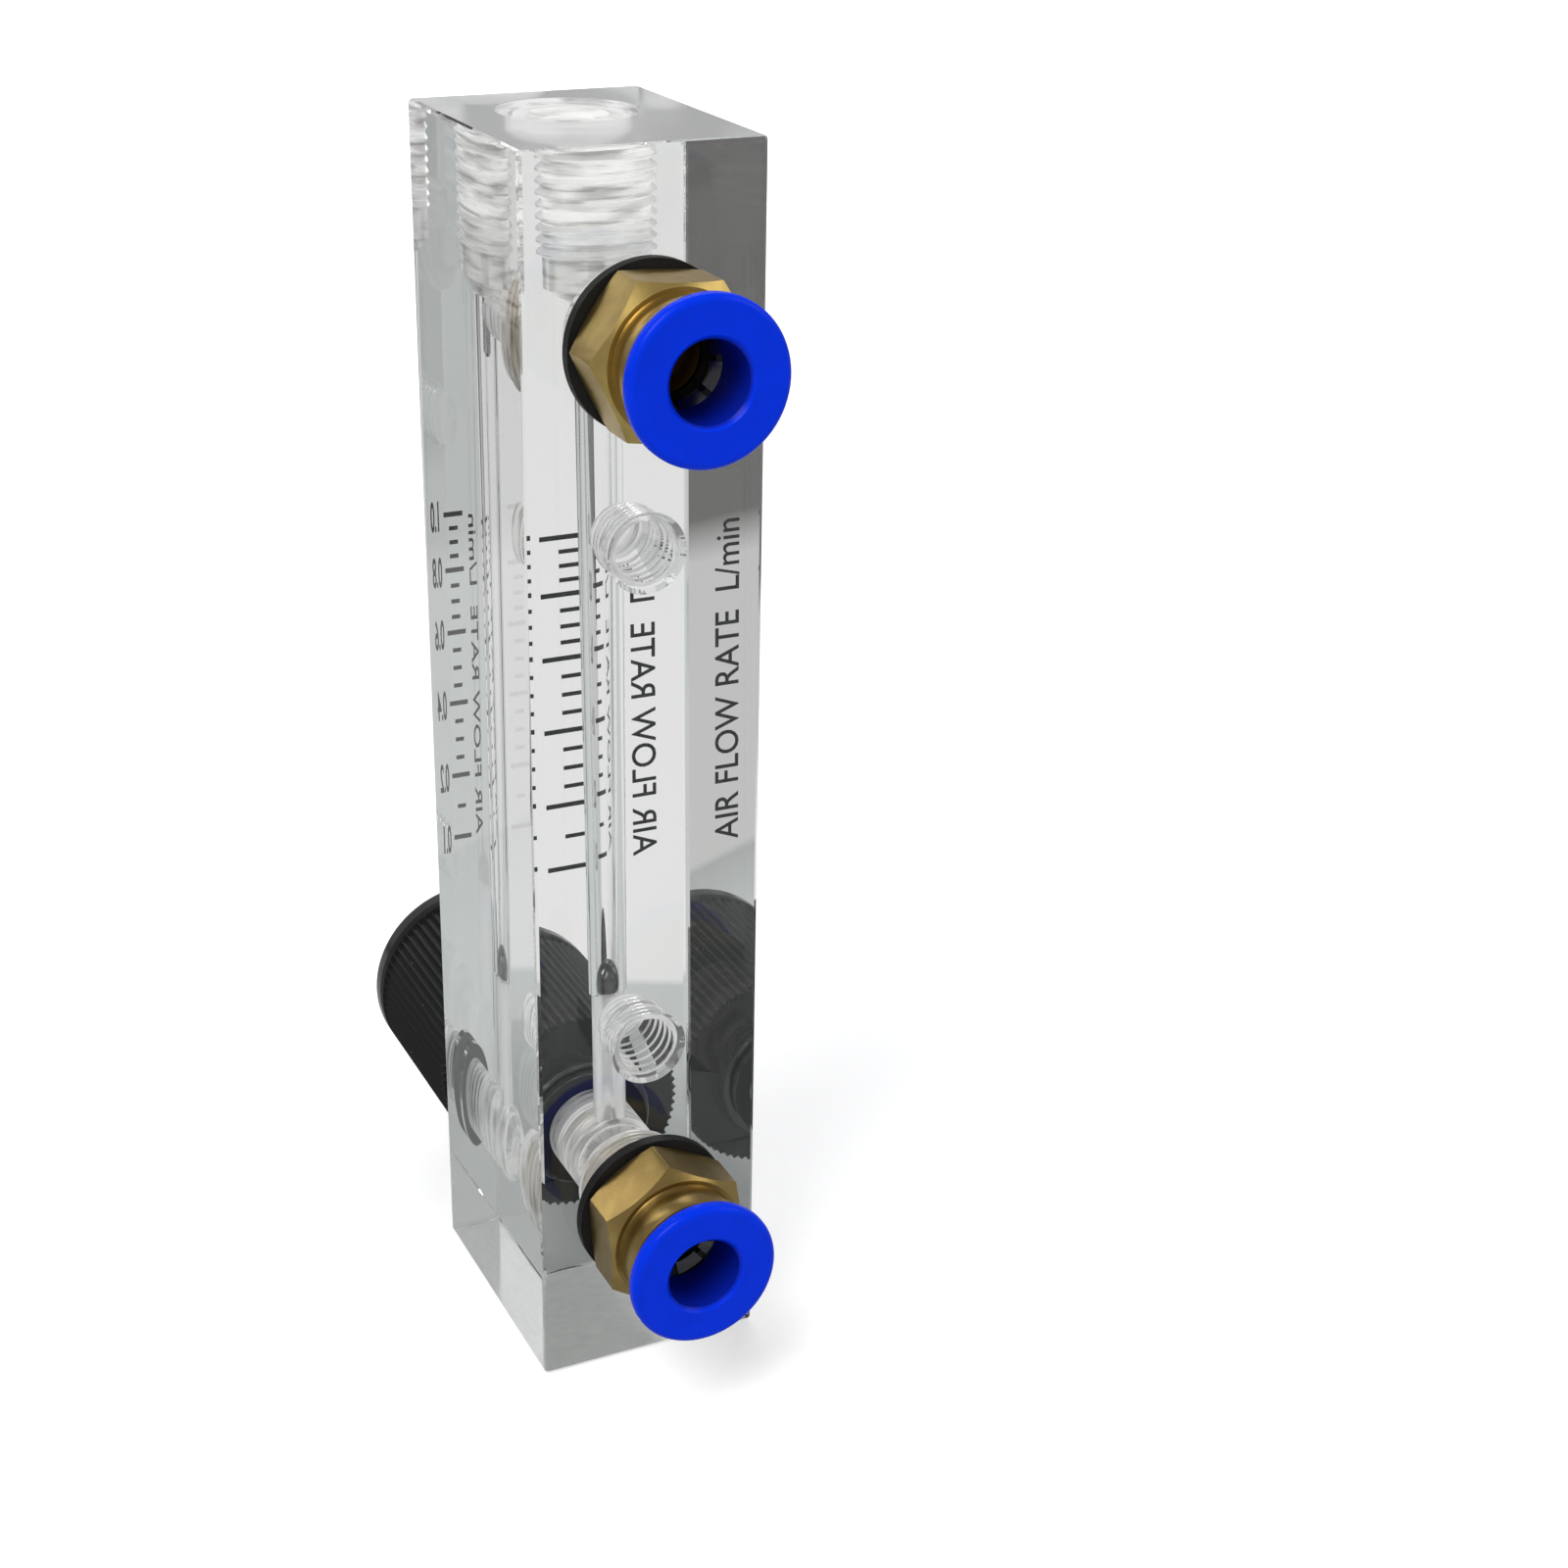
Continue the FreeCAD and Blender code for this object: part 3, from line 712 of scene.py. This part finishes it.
def pressed_on(face):
    """1 where the bonnet's gasket is pressed against the walls of its pocket."""
    x, y, z = face.center / MM
    from_valve = math.hypot(x, z - VALVE_Z)
    inner, outer, front, gasket_foot, floor = 4.1, 5.6, 0.05, 0.8, 1.6
    if not inner < from_valve < outer or not FRONT_Y + front < y < FRONT_Y + floor:
        return 0.0
    pocket_floor = abs(face.normal.y) > 0.9
    return 1.0 if pocket_floor or y < FRONT_Y + gasket_foot else 0.0


def mark_faces(mesh, name, values):
    """Stores a number for each face, for the finish to read."""
    mesh.attributes.new(name, "FLOAT", "FACE").data.foreach_set("value", values)


class ROTAMETER_OT_block(bpy.types.Operator):
    """Mills the acrylic block and drills, taps and tapers its passages"""
    bl_idname = "rotameter.block"
    bl_label = "Acrylic Block"

    def execute(self, context):
        inset = 0.01
        low = BLOCK_LOW + Vector((inset, inset, inset))
        high = BLOCK_HIGH - Vector((inset, inset, inset))
        stock = bmesh.new()
        bmesh.ops.create_cube(stock, size=1.0)
        bmesh.ops.scale(stock, vec=high - low, verts=stock.verts)
        bmesh.ops.translate(stock, vec=(high + low) / 2, verts=stock.verts)
        rounded(stock, stock.edges[:], sizes("block").edge_bevel / MM)
        shapes = [column_cutter()]
        shapes += [port_cutter(PORT_HEIGHTS[side], *bore) for side, bore in CROSS_BORES.items()]
        shapes += [valve_cutter()]
        shapes += [mount_cutter(height) for height in MOUNT_HEIGHTS]
        tools = [mesh_from(shape, "cutter", place) for shape, place in shapes]
        mesh = carved("acrylic_block", mesh_from(stock, "acrylic_block", Matrix.Scale(MM, 4)), tools)
        mark_faces(mesh, "frosting", [white_of(face) for face in mesh.polygons])
        mark_faces(mesh, "pressed", [pressed_on(face) for face in mesh.polygons])
        piece("acrylic_block", mesh, acrylic(), "housing", ["flow_block"], CLEAR_CREASE)
        return {"FINISHED"}


class ROTAMETER_OT_plug(bpy.types.Operator):
    """Turns the threaded plug that closes the top of the bore, and finishes its stop pin"""
    bl_idname = "rotameter.plug"
    bl_label = "Top Plug"

    def execute(self, context):
        gap = sizes("fitting").thread_gap / MM
        major = sizes("block").pipe_thread / MM - gap
        minor = PIPE_DRILL - gap
        top = reach("top_plug", 2, 1)
        foot = reach("top_plug", 2, 0)
        dish, dish_floor, dish_rim, chamfer = 0.6, 2.6, 3.2, 0.5
        lead, pin, pin_depth = 0.3, 1.03, 4.0
        profile = [(0, top - dish), (dish_floor, top - dish), (dish_rim, top), (major - chamfer, top),
                   (minor, top - dish)]
        profile += thread(major, minor, TOP_Z - TOP_THREAD_START, foot, sizes("block").pipe_pitch / MM)
        profile += [(minor, foot + lead), (minor - lead, foot), (pin, foot), (pin, foot + pin_depth),
                    (0, foot + pin_depth)]
        mesh = mesh_from(turned(profile, FINE_ROUND), "acrylic_plug", on_column())
        wall, shoulder = (minor - 0.2) * MM, (top - 0.5) * MM
        axis = Vector((0, COLUMN_Y * MM))
        walls = [FROST_AND_GLOW["crest"] if (face.center.xy - axis).length > wall and face.center.z < shoulder
                 else FROST_AND_GLOW["plug"] for face in mesh.polygons]
        mark_faces(mesh, "frosting", walls)
        piece("acrylic_plug", mesh, acrylic(), "housing", ["top_plug"], CLEAR_CREASE)
        refinish("float_stop_pin", steel("stainless_steel", "steel", 0.16))
        return {"FINISHED"}


class ROTAMETER_OT_float(bpy.types.Operator):
    """Makes the steel ball that rides in the bore"""
    bl_idname = "rotameter.float"
    bl_label = "Ball Float"

    def execute(self, context):
        low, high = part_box("float_ball")
        ball = bmesh.new()
        bmesh.ops.create_icosphere(ball, subdivisions=5, radius=(high.z - low.z) / 2)
        mesh = mesh_from(ball, "steel_ball", Matrix.Translation(middle("float_ball")))
        piece("steel_ball", mesh, steel("float_steel", "ball", 0.12), "float", ["float_ball"])
        return {"FINISHED"}


# ---- fittings ----
def hex_cut(shape, flats, turn):
    """Trims a turned barrel to six flats and softens their edges."""
    for k in range(6):
        angle = math.radians(60.0 * k) + turn
        out = Vector((math.cos(angle), math.sin(angle), 0.0))
        cut = bmesh.ops.bisect_plane(shape, geom=shape.verts[:] + shape.edges[:] + shape.faces[:], dist=1e-6,
                                     plane_co=out * flats / 2, plane_no=out, clear_outer=True)
        rim = [part for part in cut["geom_cut"] if isinstance(part, bmesh.types.BMEdge)]
        bmesh.ops.contextual_create(shape, geom=rim)
    bmesh.ops.recalc_face_normals(shape, faces=shape.faces)
    sharp, few_corners, soft = math.radians(40), 12, 0.10
    between_flats = [edge for edge in shape.edges
                     if len(edge.link_faces) == 2 and edge.calc_face_angle(0.0) > sharp
                     and all(len(face.verts) > few_corners for face in edge.link_faces)]
    rounded(shape, between_flats, soft)


class ROTAMETER_OT_fittings(bpy.types.Operator):
    """Turns the two push-in fittings and finishes their washers, seals, claws and release rings"""
    bl_idname = "rotameter.fittings"
    bl_label = "Push-in Fittings"

    def execute(self, context):
        fitting = sizes("fitting")
        block = sizes("block")
        gap = fitting.thread_gap / MM
        flats = fitting.hex_flats / MM
        corner = flats / math.sqrt(3) + 0.02
        neck = fitting.neck_radius / MM
        socket = fitting.socket_radius / MM
        major = block.pipe_thread / MM - gap
        minor = PIPE_DRILL - gap
        shank_end, start, end, shank_chamfer = -8.0, -0.6, -7.6, 0.35
        washer, face = 1.0, 5.75
        cartridge, seal, feed = 4.8, 4.2, 2.1
        for side, height in PORT_HEIGHTS.items():
            outside = [(minor - shank_chamfer, shank_end), (minor, -7.7)]
            outside += thread(major, minor, start, end, block.pipe_pitch / MM)[::-1]
            outside += [(minor, -0.3), (minor, washer), (face, washer), (corner, 1.75), (corner, 5.35),
                        (face, 6.2)]
            outside += [(neck - loss, station) for loss, station in NECK]
            inside = [(cartridge, 9.6), (cartridge, 4.9), (seal, 4.9), (seal, 2.8), (socket, 2.8),
                      (socket, 0.4), (feed, 0.4), (feed, shank_end)]
            barrel = turned(outside + inside, ROUND, ring=True)
            hex_cut(barrel, flats, math.radians(HEX_TURNS[side]))
            mesh = mesh_from(barrel, side + "_hex_body", on_rear(height))
            piece(side + "_hex_body", mesh, brass(height), "housing", [side + "_fitting_body"])
            finishes = {"washer": rubber(), "tube_seal": rubber(),
                        "claw_seat": plastic("grip_seat_plastic", "seat", 0.38, 0.8),
                        # Claw steel painted dark as shade down the ring's hole.
                        "grip_ring": steel("claw_steel", "claws", 0.05),
                        "retainer_ring": brass(height), "release_ring": release(height)}
            for part, finish in finishes.items():
                refinish(f"{side}_{part}", finish)
        return {"FINISHED"}


# ---- needle valve ----
class ROTAMETER_OT_valve(bpy.types.Operator):
    """Turns the bonnet and finishes the spindle and its seals"""
    bl_idname = "rotameter.valve"
    bl_label = "Needle Valve"

    def execute(self, context):
        flats = 8.0
        corner = flats / math.sqrt(3) + 0.02
        shank, minor, bore, foot = 3.98, 3.52, 2.5, -5.2
        start, end = -POCKET_DEPTH, -5.0
        outside = [(3.1, foot), (3.5, end)]
        outside += thread(shank, minor, start, end, VALVE_PITCH)[::-1]
        outside += [(shank, -1.4), (shank, 0.0), (6.0, 0.0), (6.2, 0.2), (6.2, 1.2), (6.0, 1.4),
                    (bore, 1.4), (bore, foot)]
        nose = turned([(3.95, 1.35), (corner, 1.9), (corner, 5.4), (3.95, 6.0), (bore, 6.0),
                       (bore, 1.35)], ROUND, ring=True)
        hex_cut(nose, flats, math.radians(10.0))
        barrel = joined([turned(outside, ROUND, ring=True), nose])
        mesh = mesh_from(barrel, "bonnet_bush", on_front(VALVE_Z))
        piece("bonnet_bush", mesh, steel("blackened_brass", "blackened", 0.08), "housing",
              ["valve_bonnet"])
        refinish("bonnet_gasket", rubber())
        refinish("spindle_seal", rubber())
        refinish("needle_spindle", steel("stainless_steel", "steel", 0.16))
        return {"FINISHED"}


# ---- knob and dial ----
class ROTAMETER_OT_knob(bpy.types.Operator):
    """Moulds the fluted knob with its dial, screw and signs"""
    bl_idname = "rotameter.knob"
    bl_label = "Knob and Dial"

    def execute(self, context):
        knob = sizes("knob")
        radius = knob.radius / MM
        front = -reach("control_knob", 1, 0) + FRONT_Y
        back = -reach("control_knob", 1, 1) + FRONT_Y
        band = front - knob.smooth_band / MM
        fillet, back_chamfer, ribs = 1.3, 0.25, 24
        outside = [(radius - back_chamfer, back), (radius, back + back_chamfer)]
        outside += [(radius, back + back_chamfer + (band - back - 0.35) * (k + 1) / ribs)
                    for k in range(ribs)]
        outside += [(radius, band + 0.05), (radius, front - fillet)]
        outside += [(radius - fillet + fillet * math.cos(a), front - fillet + fillet * math.sin(a))
                    for a in (math.radians(9.0 * k) for k in range(1, 11))]
        recess = reach("dial_disc", 0, 1) + 0.1
        recess_floor, lip = front - 1.5, 0.12
        screw, screw_floor, shaft, hollow, roof = 3.2, 18.2, 2.05, 6.6, 10.6
        inside = [(recess + lip, front), (recess, front - lip), (recess, recess_floor),
                  (screw, recess_floor), (screw, screw_floor), (shaft, screw_floor), (shaft, roof),
                  (hollow, roof), (hollow, back)]
        grip = turned(outside + inside, knob.flutes * STEPS_PER_FLUTE, ring=True)
        self.flute(grip, radius, band)
        mesh = mesh_from(grip, "fluted_knob", on_front(VALVE_Z))
        piece("fluted_knob", mesh, moulding(), "control", ["control_knob"])
        refinish("knob_screw", steel("stainless_steel", "steel", 0.16))
        refinish("dial_disc", plastic("dial_plastic", "dial", 0.30, 0.93))
        self.signs(-reach("dial_disc", 1, 0) + FRONT_Y)
        return {"FINISHED"}

    def flute(self, grip, radius, band):
        """Presses the grooves into the grip behind the smooth band."""
        knob = sizes("knob")
        skin, sharpness = 0.3, 0.7
        for corner in grip.verts:
            away = math.hypot(corner.co.x, corner.co.y)
            if away < radius - skin or corner.co.z > band:
                continue
            turn = math.atan2(corner.co.y, corner.co.x) / FULL_TURN * knob.flutes
            dip = knob.flute_depth / MM * abs(math.sin(math.pi * turn)) ** sharpness
            corner.co.x *= 1 - dip / away
            corner.co.y *= 1 - dip / away

    def signs(self, face):
        """Plus, minus and the crescent that swells from one to the other."""
        low, high = face - 0.02, face + sizes("print").ink_proud / MM
        dial = -reach("dial_disc", 0, 0)
        rim = arc(0.03 * dial, 0.08 * dial, 0.82 * dial, 212.0, 392.0)
        hollow = arc(-0.26 * dial, 0.05 * dial, 0.56 * dial, 226.0, 383.0)
        shapes = [outlined(rim + hollow[::-1], low, high)]
        tilt, half, thick = 29.0, 0.95, 0.19
        for angle, share, turns in ((185.0, 0.66, (0.0,)), (57.0, 0.80, (0.0, 90.0))):
            centre, way = share * dial, math.radians(angle)
            heart = Vector((centre * math.cos(way), centre * math.sin(way), 0))
            for turn in turns:
                bar = stroke(half, thick, 0.0, low, high)
                spin = Matrix.Rotation(math.radians(tilt + turn), 4, "Z")
                bmesh.ops.transform(bar, matrix=Matrix.Translation(heart) @ spin, verts=bar.verts)
                shapes.append(bar)
        join_print("dial_signs", shapes, on_front(VALVE_Z), "control")


def stroke(half, thick, height, low, high):
    """A printed bar at that height; half and thick are half its length and half its width."""
    corners = [(-half, -thick), (half, -thick), (half, thick), (-half, thick)]
    return outlined([(x, y + height) for x, y in corners], low, high)


def arc(x, y, radius, start, end):
    """Points along an arc between two angles in degrees."""
    angles = (math.radians(start + (end - start) * k / 60) for k in range(61))
    return [(x + radius * math.cos(a), y + radius * math.sin(a)) for a in angles]


def join_print(name, shapes, place, body, replaces=()):
    """Joins flat printed shapes into one inked piece."""
    mesh = mesh_from(joined(shapes), name, place)
    return piece(name, mesh, plastic("black_ink", "ink", 0.34, 1.8), body, replaces)


# ---- printed scale ----
def lettering(words, height, squeeze, heavy, low, high):
    """Words as a flat prism, with their left foot at the origin."""
    curve = bpy.data.curves.new("lettering", "FONT")
    curve.body = words
    curve.size = 1.0
    curve.offset = heavy
    curve.resolution_u = 4
    holder = placed("lettering", curve)
    flat = evaluated(holder)
    bpy.data.objects.remove(holder)
    bpy.data.curves.remove(curve)
    shape = bmesh.new()
    shape.from_mesh(flat)
    bpy.data.meshes.remove(flat)
    cap_height = 0.73  # height of a capital in a font of size 1
    tall = height / cap_height
    bmesh.ops.scale(shape, vec=(tall * squeeze, tall, 1.0), verts=shape.verts)
    bmesh.ops.remove_doubles(shape, verts=shape.verts, dist=1e-4)
    return raised(shape, low, high)


class ROTAMETER_OT_scale(bpy.types.Operator):
    """Prints the marks, numbers and words of the scale on the front face"""
    bl_idname = "rotameter.scale"
    bl_label = "Printed Scale"

    def execute(self, context):
        ink = sizes("print")
        sunk = -0.04
        proud = ink.ink_proud / MM
        heights = []
        for (_, low), (_, high), count in zip(SCALE_MARKS, SCALE_MARKS[1:], SCALE_STEPS):
            heights += [(low + (high - low) * k / count, k == 0) for k in range(count)]
        heights.append((SCALE_MARKS[-1][1], True))
        shapes = []
        for height, numbered in heights:
            half, thick = (3.08, 0.21) if numbered else (1.40, 0.18)
            shapes.append(stroke(half, thick, height, sunk, proud))
        tall = ink.digit_height / MM
        beside_marks = 4.2
        for value, height in SCALE_MARKS:
            digits = lettering(f"{value:.1f}", tall, 0.72, 0.016, sunk, proud)
            bmesh.ops.translate(digits, vec=(beside_marks, height - tall / 2, 0), verts=digits.verts)
            shapes.append(digits)
        legend = lettering("AIR FLOW RATE  L/min", ink.legend_height / MM, 0.80, 0.004, sunk, proud)
        span = max(corner.co.x for corner in legend.verts)
        legend_length, legend_start = 30.0, (-4.95, 41.0, 0)
        bmesh.ops.scale(legend, vec=(legend_length / span, 1.0, 1.0), verts=legend.verts)
        turn = Matrix.Translation(legend_start) @ Matrix.Rotation(QUARTER_TURN, 4, "Z")
        bmesh.ops.transform(legend, matrix=turn, verts=legend.verts)
        shapes.append(legend)
        join_print("scale_lettering", shapes, on_front(0.0), "housing", ["scale_print"])
        return {"FINISHED"}


# ---- stage ----
class ROTAMETER_OT_stage(bpy.types.Operator):
    """Sets the floor, the lamps, the world and the camera"""
    bl_idname = "rotameter.stage"
    bl_label = "Stage"

    def execute(self, context):
        self.floor()
        self.lamps()
        self.world()
        self.camera()
        context.scene.view_settings.view_transform = "Standard"
        return {"FINISHED"}

    def floor(self):
        """Pale floor, whose bench, far sheet and dark part show only in the acrylic and the metal."""
        sheet = bmesh.new()
        bmesh.ops.create_grid(sheet, x_segments=1, y_segments=1, size=6.0)
        mesh = mesh_from(sheet, "floor", Matrix.Translation((0, 0, -0.0002)))
        made = placed("floor", mesh)
        mix = recipe("floor_paper")
        seen = mix.node("ShaderNodeLightPath", output="Is Camera Ray")
        finish = sizes("finish")
        across, along, _ = mix.axes()
        away = across * -0.44 + along * -0.90
        bench_end, dim_start, dark_start, far_start = 0.0662, 0.050, 0.156, 0.35
        beyond = ((away - bench_end) * 600.0).clamped()
        beside = ((across - 0.006) * 160.0).clamped()
        dim = beside * ((away - dim_start) * 60.0).clamped() * 0.40
        dark = beside * ((away - dark_start + across * 0.2) * 60.0).clamped()
        plain, white, far_white, black = (0.93,) * 3, (1.0,) * 3, (2.3,) * 3, (0.0,) * 3
        tone = mix.blend(beyond, finish.bench, finish.sheet)
        tone = mix.blend(dim, tone, finish.shade)
        tone = mix.blend(dark, tone, finish.shade)
        tone = mix.blend(seen, tone, plain)
        far = (((across * across + along * along) ** 0.5 - far_start) * 3.0).clamped()
        glow = mix.blend(seen, mix.blend(0.43, tone, black), mix.blend(far, white, far_white))
        paper = mix.surface(Base_Color=tone, Roughness=0.9, Emission_Color=glow, Emission_Strength=0.35)
        mesh.materials.append(mix.finish(paper))

    def lamps(self):
        """Three soft round lamps: name, place, size and watts."""
        soft = (("key", (0.55, 0.35, 0.85), 0.60, 6.5), ("fill", (-0.75, 0.45, 0.55), 0.60, 1.6),
                ("front", (-0.30, -0.80, 0.70), 0.70, 2.6))
        target = Vector((0, 0, TOP_Z * MM / 2))
        for name, place, size, power in soft:
            lamp = bpy.data.lights.new(name, "AREA")
            lamp.shape = "DISK"
            lamp.size = size
            lamp.energy = power
            made = placed(name, lamp)
            made.location = place
            made.rotation_euler = (Vector(place) - target).to_track_quat("Z", "Y").to_euler()

    def world(self):
        """Soft sky light, and plain white where the camera looks past the floor."""
        sky = bpy.data.worlds.new("studio")
        bpy.context.scene.world = sky
        mix = Recipe(sky)
        seen = mix.node("ShaderNodeLightPath", output="Is Camera Ray")
        plain = mix.node("ShaderNodeBackground", None, {"Color": (0.96, 0.97, 1.0), "Strength": 0.40})
        white = mix.node("ShaderNodeBackground", None, {"Color": (1.0, 1.0, 1.0), "Strength": 1.0})
        mix.node("ShaderNodeOutputWorld", None, {"Surface": mix.between(seen, plain, white)})

    def camera(self):
        """Camera behind the block and above it."""
        azimuth, elevation, roll = (math.radians(a) for a in (153.775, 23.809, 1.134))
        place = (0.074529, 0.188633, 0.139415)
        back = Vector((math.sin(azimuth) * math.cos(elevation), -math.cos(azimuth) * math.cos(elevation),
                       math.sin(elevation)))
        level = Vector((0, 0, 1)).cross(back).normalized()
        upright = back.cross(level)
        right = level * math.cos(roll) + upright * math.sin(roll)
        up = upright * math.cos(roll) - level * math.sin(roll)
        turn = Matrix((right, up, back)).transposed().to_4x4()
        lens = bpy.data.cameras.new("camera")
        lens.lens = 59.31
        lens.sensor_width = 36.0
        lens.clip_start = 0.01
        lens.clip_end = 30.0
        made = placed("camera", lens)
        made.matrix_world = Matrix.Translation(place) @ turn
        bpy.context.scene.camera = made


OPERATORS = (ROTAMETER_OT_block, ROTAMETER_OT_plug, ROTAMETER_OT_float, ROTAMETER_OT_fittings,
             ROTAMETER_OT_valve, ROTAMETER_OT_knob, ROTAMETER_OT_scale, ROTAMETER_OT_stage)


class ROTAMETER_PT_panel(bpy.types.Panel):
    """Steps that dress the rotameter, and their sizes and colours"""
    bl_idname = "ROTAMETER_PT_panel"
    bl_label = "Panel Rotameter"
    bl_space_type = "VIEW_3D"
    bl_region_type = "UI"
    bl_category = "Rotameter"

    def draw(self, context):
        for operator in OPERATORS:
            self.layout.operator(operator.bl_idname)
        for name, group in GROUPS:
            box = self.layout.box()
            for setting in group.__annotations__:
                box.prop(getattr(context.scene, name), setting)


def register():
    for name, group in GROUPS:
        bpy.utils.register_class(group)
        setattr(bpy.types.Scene, name, bpy.props.PointerProperty(type=group))
    for operator in OPERATORS:
        bpy.utils.register_class(operator)
    bpy.utils.register_class(ROTAMETER_PT_panel)


def unregister():
    bpy.utils.unregister_class(ROTAMETER_PT_panel)
    for operator in reversed(OPERATORS):
        bpy.utils.unregister_class(operator)
    for name, group in reversed(GROUPS):
        delattr(bpy.types.Scene, name)
        bpy.utils.unregister_class(group)


def main():
    register()
    bpy.ops.rotameter.block()
    bpy.ops.rotameter.plug()
    bpy.ops.rotameter.float()
    bpy.ops.rotameter.fittings()
    bpy.ops.rotameter.valve()
    bpy.ops.rotameter.knob()
    bpy.ops.rotameter.scale()
    bpy.ops.rotameter.stage()


if __name__ == "__main__":
    main()
